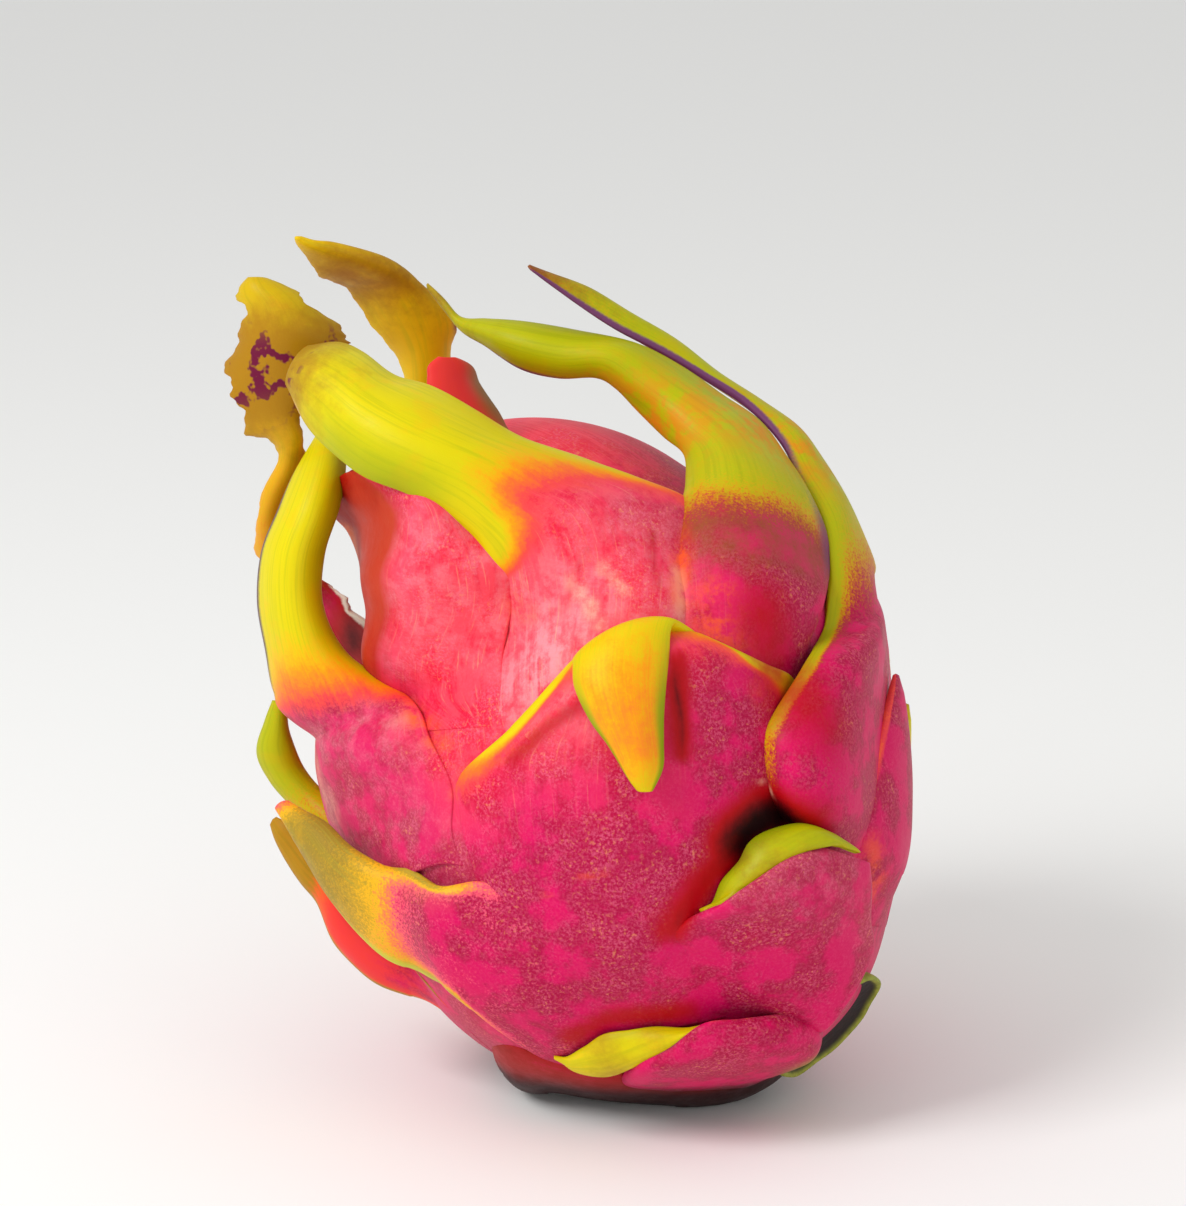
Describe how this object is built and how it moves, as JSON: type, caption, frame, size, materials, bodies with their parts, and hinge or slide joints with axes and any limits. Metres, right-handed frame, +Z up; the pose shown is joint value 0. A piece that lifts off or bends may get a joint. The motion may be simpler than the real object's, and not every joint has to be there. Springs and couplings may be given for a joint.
{
  "type": "dragon fruit",
  "caption": "Whole dragon fruit with overlapping scales and long leafy tips, a cut stem end, and a flat resting spot on its underside.",
  "frame": {"origin": "centre of the flat resting spot on the underside", "axes": "+Z up, the pictured side faces -Y, +X to the right of the picture"},
  "size_m": [0.1082, 0.1068, 0.1335],
  "materials": {
    "rind": "satin",
    "stem": "matte"
  },
  "bodies": {
    "root": {"fruit": "rind", "stem_stub": "stem"}
  },
  "joints": []
}
